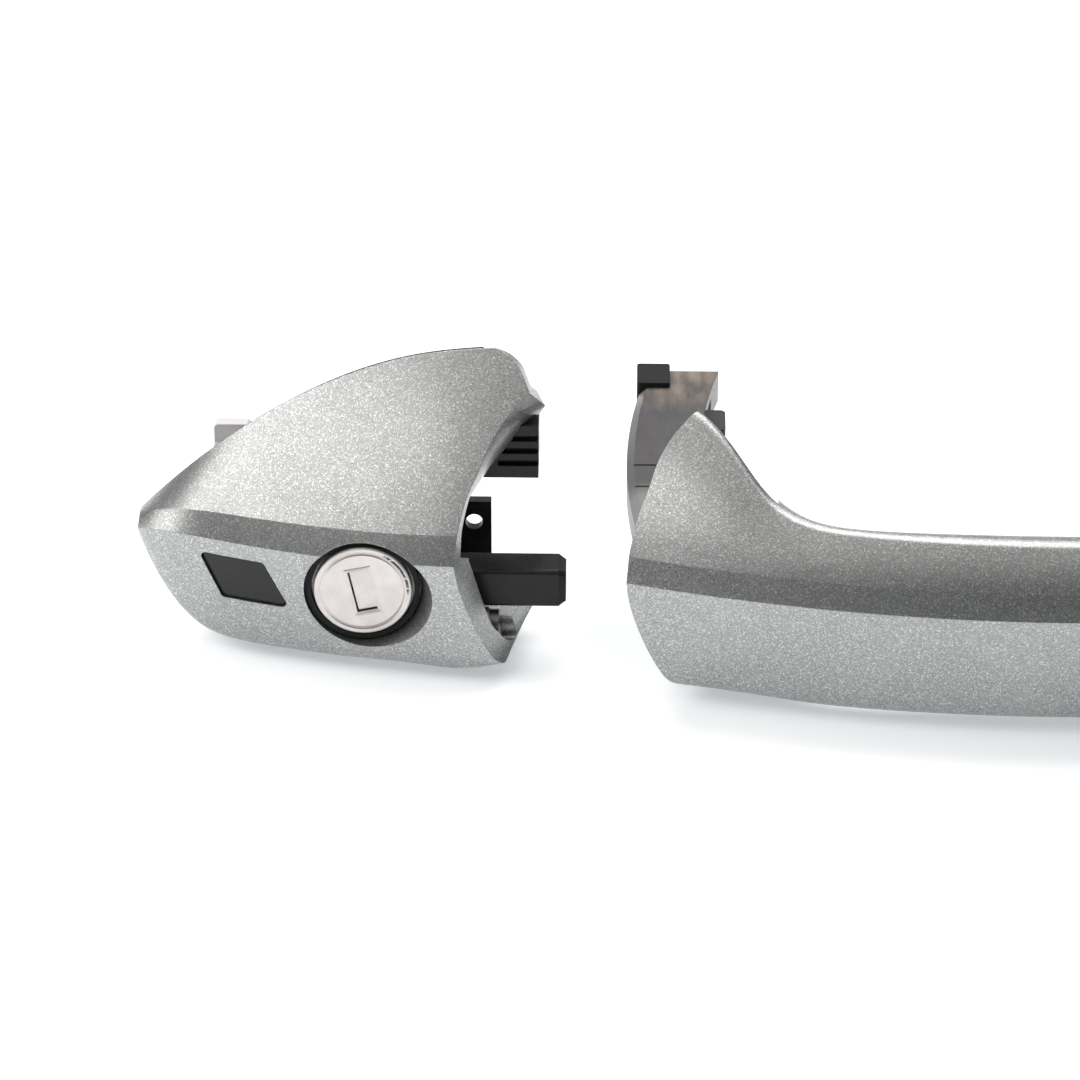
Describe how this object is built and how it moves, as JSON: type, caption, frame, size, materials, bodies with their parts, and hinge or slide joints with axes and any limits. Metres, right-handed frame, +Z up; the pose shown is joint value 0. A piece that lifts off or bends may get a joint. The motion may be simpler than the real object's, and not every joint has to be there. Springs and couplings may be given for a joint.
{
  "type": "car door handle",
  "caption": "Exterior strap door handle for a car: arched pull grip with door arm, and a lock end cap with key cylinder and dark receiver window.",
  "frame": {"origin": "on the key cylinder's axis, in the plane of the door skin (Y = 0)", "axes": "+X along the car from the lock cap towards the grip and its front pivot, +Y into the door, +Z up"},
  "size_m": [0.2542, 0.0785, 0.0543],
  "materials": {
    "paint": "silver-grey metallic lacquer with fine flake",
    "black_plastic": "moulded black glass-filled plastic",
    "grey_plastic": "moulded mid-grey plastic, slightly satin",
    "rubber": "matt black rubber",
    "zinc": "die-cast zinc, grey",
    "steel": "zinc-plated steel",
    "satin_steel": "satin stainless face, slightly warm",
    "brass": "plain brass",
    "window": "infrared-clear black gloss plastic",
    "circuit_board": "solder-resist green board with parts"
  },
  "bodies": {
    "cap": {"cap_shell": "paint", "cap_gasket": "rubber", "lock_carrier": "black_plastic", "retaining_peg": "black_plastic", "rear_hook": "grey_plastic", "cylinder_housing": "zinc", "clamp_insert": "brass", "pocket_seal": "rubber", "receiver_window": "window", "receiver_board": "circuit_board", "carrier_screws": "steel", "side_screw": "steel", "return_spring": "steel"},
    "plug": {"plug_core": "zinc", "face_disc": "satin_steel", "wafers": "brass", "tail_driver": "steel", "tail_clip": "steel"},
    "shutter": {"key_shutter": "satin_steel"},
    "front_base": {"front_gasket": "rubber", "pivot_shoe": "black_plastic", "pivot_pin": "steel", "pin_clip": "steel"},
    "grip": {"grip_cover": "paint", "grip_back_shell": "paint", "grip_core": "grey_plastic", "pull_arm": "grey_plastic", "arm_buffer": "rubber", "arm_stop": "black_plastic", "pivot_arm": "grey_plastic", "arm_screws": "steel", "back_shell_screws": "steel"}
  },
  "joints": [
    {"name": "grip_fitting", "type": "slide", "parent": "cap", "child": "front_base", "axis": [-0.9878, 0.1554, 0], "range_m": [0, 0.02895]},
    {"name": "grip_pull", "type": "hinge", "parent": "front_base", "child": "grip", "pos_m": [0.207, 0.005, 0], "axis": [0, 0, 1], "range_deg": [0, 9]},
    {"name": "key_turn", "type": "hinge", "parent": "cap", "child": "plug", "pos_m": [0, 0, 0], "axis": [0, 1, 0], "range_deg": [-75, 75], "stiffness_Nm_per_rad": 0.02},
    {"name": "slot_shutter", "type": "hinge", "parent": "plug", "child": "shutter", "pos_m": [0.00171, -0.0175, 0.00036], "axis": [0.2079, 0, -0.9781], "range_deg": [0, 80], "stiffness_Nm_per_rad": 0.0001}
  ]
}
